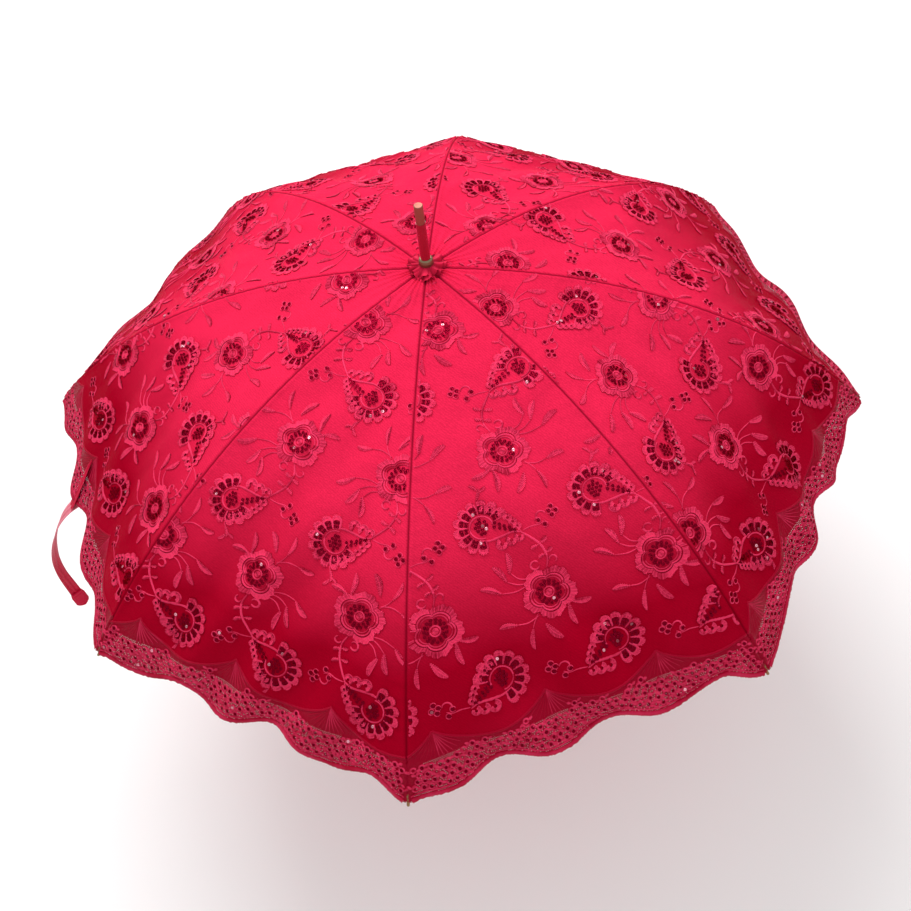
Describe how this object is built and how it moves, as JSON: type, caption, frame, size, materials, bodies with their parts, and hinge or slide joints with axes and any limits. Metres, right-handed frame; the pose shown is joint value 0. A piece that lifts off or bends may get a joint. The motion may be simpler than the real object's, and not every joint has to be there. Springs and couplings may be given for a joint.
{
  "type": "lace parasol",
  "caption": "Open lace parasol with a domed embroidered cloth canopy, scalloped lace border, stick ferrule, sliding runner frame and crook handle.",
  "frame": {"origin": "middle of the handle's straight grip, on the shaft's axis", "axes": "+Z along the shaft towards the ferrule; rib 1 points along -Y; the crook turns towards +X"},
  "size_m": [0.8457, 0.8422, 0.6888],
  "materials": {
    "lacquered_wood": "glossy red lacquer on turned and bent wood",
    "red_lacquer": "glossy red lacquer",
    "antique_brass": "antique, lightly tarnished",
    "bright_steel": "nickel-plated spring steel",
    "nickel_brass": "nickel plate",
    "canopy_cloth": "fine twill with a silky sheen and tone-on-tone embroidery",
    "lace": "embroidered net with eyelets",
    "strap_ribbon": "satin ribbon",
    "strap_tab_cloth": "folded and stitched cloth"
  },
  "bodies": {
    "root": {"crook_handle": "lacquered_wood", "handle_end_cap": "antique_brass", "handle_collar": "antique_brass", "shaft": "red_lacquer", "shaft_pins": "bright_steel", "ferrule_stick": "red_lacquer", "ferrule_tip": "antique_brass", "ferrule_collar": "antique_brass", "rosette": "canopy_cloth", "top_notch": "nickel_brass", "top_notch_wire": "bright_steel"},
    "runner": {"runner_tube": "nickel_brass", "runner_notch": "nickel_brass", "runner_wire": "bright_steel"},
    "top_catch_lever": {"top_catch": "bright_steel"},
    "bottom_catch_lever": {"bottom_catch": "bright_steel"},
    "rib_arm_1": {"rib_1": "bright_steel", "rib_tip_1": "antique_brass", "canopy_1": "canopy_cloth", "lace_border_1": "lace"},
    "stretcher_arm_1": {"stretcher_1": "bright_steel"},
    "rib_arm_2": {"rib_2": "bright_steel", "rib_tip_2": "antique_brass", "canopy_2": "canopy_cloth", "lace_border_2": "lace"},
    "stretcher_arm_2": {"stretcher_2": "bright_steel"},
    "rib_arm_3": {"rib_3": "bright_steel", "rib_tip_3": "antique_brass", "canopy_3": "canopy_cloth", "lace_border_3": "lace"},
    "stretcher_arm_3": {"stretcher_3": "bright_steel"},
    "rib_arm_4": {"rib_4": "bright_steel", "rib_tip_4": "antique_brass", "canopy_4": "canopy_cloth", "lace_border_4": "lace"},
    "stretcher_arm_4": {"stretcher_4": "bright_steel"},
    "rib_arm_5": {"rib_5": "bright_steel", "rib_tip_5": "antique_brass", "canopy_5": "canopy_cloth", "lace_border_5": "lace"},
    "stretcher_arm_5": {"stretcher_5": "bright_steel"},
    "rib_arm_6": {"rib_6": "bright_steel", "rib_tip_6": "antique_brass", "canopy_6": "canopy_cloth", "lace_border_6": "lace"},
    "stretcher_arm_6": {"stretcher_6": "bright_steel"},
    "rib_arm_7": {"rib_7": "bright_steel", "rib_tip_7": "antique_brass", "canopy_7": "canopy_cloth", "lace_border_7": "lace", "strap_anchor": "strap_ribbon"},
    "stretcher_arm_7": {"stretcher_7": "bright_steel"},
    "rib_arm_8": {"rib_8": "bright_steel", "rib_tip_8": "antique_brass", "canopy_8": "canopy_cloth", "lace_border_8": "lace"},
    "stretcher_arm_8": {"stretcher_8": "bright_steel"},
    "strap_end": {"tie_strap": "strap_ribbon", "strap_tab": "strap_tab_cloth"}
  },
  "joints": [
    {"name": "runner_slide", "type": "slide", "parent": "root", "child": "runner", "axis": [0, 0, 1], "range_m": [-0.25636, 0], "deforming": ["top_catch", "bottom_catch"]},
    {"name": "rib_hinge_1", "type": "hinge", "parent": "root", "child": "rib_arm_1", "pos_m": [0, -0.0095, 0.52632], "axis": [1, 0, 0], "range_deg": [0, 64.22], "deforming": ["canopy_1", "lace_border_1"]},
    {"name": "stretcher_hinge_1", "type": "hinge", "parent": "rib_arm_1", "child": "stretcher_arm_1", "pos_m": [0, -0.20456, 0.49123], "axis": [1, 0, 0], "range_deg": [-108.63, 0]},
    {"name": "rib_hinge_2", "type": "hinge", "parent": "root", "child": "rib_arm_2", "pos_m": [0.00672, -0.00672, 0.52632], "axis": [0.7071, 0.7071, 0], "range_deg": [0, 64.22], "deforming": ["canopy_2", "lace_border_2"]},
    {"name": "stretcher_hinge_2", "type": "hinge", "parent": "rib_arm_2", "child": "stretcher_arm_2", "pos_m": [0.14465, -0.14465, 0.49123], "axis": [0.7071, 0.7071, 0], "range_deg": [-108.63, 0]},
    {"name": "rib_hinge_3", "type": "hinge", "parent": "root", "child": "rib_arm_3", "pos_m": [0.0095, 0, 0.52632], "axis": [0, 1, 0], "range_deg": [0, 64.22], "deforming": ["canopy_3", "lace_border_3"]},
    {"name": "stretcher_hinge_3", "type": "hinge", "parent": "rib_arm_3", "child": "stretcher_arm_3", "pos_m": [0.20456, 0, 0.49123], "axis": [0, 1, 0], "range_deg": [-108.63, 0]},
    {"name": "rib_hinge_4", "type": "hinge", "parent": "root", "child": "rib_arm_4", "pos_m": [0.00672, 0.00672, 0.52632], "axis": [-0.7071, 0.7071, 0], "range_deg": [0, 64.22], "deforming": ["canopy_4", "lace_border_4"]},
    {"name": "stretcher_hinge_4", "type": "hinge", "parent": "rib_arm_4", "child": "stretcher_arm_4", "pos_m": [0.14465, 0.14465, 0.49123], "axis": [-0.7071, 0.7071, 0], "range_deg": [-108.63, 0]},
    {"name": "rib_hinge_5", "type": "hinge", "parent": "root", "child": "rib_arm_5", "pos_m": [0, 0.0095, 0.52632], "axis": [-1, 0, 0], "range_deg": [0, 64.22], "deforming": ["canopy_5", "lace_border_5"]},
    {"name": "stretcher_hinge_5", "type": "hinge", "parent": "rib_arm_5", "child": "stretcher_arm_5", "pos_m": [0, 0.20456, 0.49123], "axis": [-1, 0, 0], "range_deg": [-108.63, 0]},
    {"name": "rib_hinge_6", "type": "hinge", "parent": "root", "child": "rib_arm_6", "pos_m": [-0.00672, 0.00672, 0.52632], "axis": [-0.7071, -0.7071, 0], "range_deg": [0, 64.22], "deforming": ["canopy_6", "lace_border_6"]},
    {"name": "stretcher_hinge_6", "type": "hinge", "parent": "rib_arm_6", "child": "stretcher_arm_6", "pos_m": [-0.14465, 0.14465, 0.49123], "axis": [-0.7071, -0.7071, 0], "range_deg": [-108.63, 0]},
    {"name": "rib_hinge_7", "type": "hinge", "parent": "root", "child": "rib_arm_7", "pos_m": [-0.0095, 0, 0.52632], "axis": [0, -1, 0], "range_deg": [0, 64.22], "deforming": ["canopy_7", "lace_border_7"]},
    {"name": "stretcher_hinge_7", "type": "hinge", "parent": "rib_arm_7", "child": "stretcher_arm_7", "pos_m": [-0.20456, 0, 0.49123], "axis": [0, -1, 0], "range_deg": [-108.63, 0]},
    {"name": "rib_hinge_8", "type": "hinge", "parent": "root", "child": "rib_arm_8", "pos_m": [-0.00672, -0.00672, 0.52632], "axis": [0.7071, -0.7071, 0], "range_deg": [0, 64.22], "deforming": ["canopy_8", "lace_border_8"]},
    {"name": "stretcher_hinge_8", "type": "hinge", "parent": "rib_arm_8", "child": "stretcher_arm_8", "pos_m": [-0.14465, -0.14465, 0.49123], "axis": [0.7071, -0.7071, 0], "range_deg": [-108.63, 0]},
    {"name": "strap_swing", "type": "hinge", "parent": "rib_arm_7", "child": "strap_end", "pos_m": [-0.36703, -0.13359, 0.34553], "axis": [0, -1, 0], "range_deg": [-64.22, 0], "deforming": ["tie_strap"]},
    {"name": "top_catch_press", "type": "hinge", "parent": "root", "child": "top_catch_lever", "pos_m": [0, 0, 0.29938], "axis": [0.9239, 0.3827, 0], "range_deg": [-8.02, 0], "stiffness_Nm_per_rad": 0.15},
    {"name": "bottom_catch_press", "type": "hinge", "parent": "root", "child": "bottom_catch_lever", "pos_m": [0, 0, 0.09122], "axis": [0.9239, 0.3827, 0], "range_deg": [0, 8.02], "stiffness_Nm_per_rad": 0.15}
  ],
  "couplings": [
    {"joint": "rib_hinge_1", "follows": "runner_slide", "rad_per_m": -4.3722},
    {"joint": "stretcher_hinge_1", "follows": "runner_slide", "rad_per_m": 7.3958},
    {"joint": "rib_hinge_2", "follows": "runner_slide", "rad_per_m": -4.3722},
    {"joint": "stretcher_hinge_2", "follows": "runner_slide", "rad_per_m": 7.3958},
    {"joint": "rib_hinge_3", "follows": "runner_slide", "rad_per_m": -4.3722},
    {"joint": "stretcher_hinge_3", "follows": "runner_slide", "rad_per_m": 7.3958},
    {"joint": "rib_hinge_4", "follows": "runner_slide", "rad_per_m": -4.3722},
    {"joint": "stretcher_hinge_4", "follows": "runner_slide", "rad_per_m": 7.3958},
    {"joint": "rib_hinge_5", "follows": "runner_slide", "rad_per_m": -4.3722},
    {"joint": "stretcher_hinge_5", "follows": "runner_slide", "rad_per_m": 7.3958},
    {"joint": "rib_hinge_6", "follows": "runner_slide", "rad_per_m": -4.3722},
    {"joint": "stretcher_hinge_6", "follows": "runner_slide", "rad_per_m": 7.3958},
    {"joint": "rib_hinge_7", "follows": "runner_slide", "rad_per_m": -4.3722},
    {"joint": "stretcher_hinge_7", "follows": "runner_slide", "rad_per_m": 7.3958},
    {"joint": "rib_hinge_8", "follows": "runner_slide", "rad_per_m": -4.3722},
    {"joint": "stretcher_hinge_8", "follows": "runner_slide", "rad_per_m": 7.3958},
    {"joint": "strap_swing", "follows": "runner_slide", "rad_per_m": 4.3722}
  ]
}
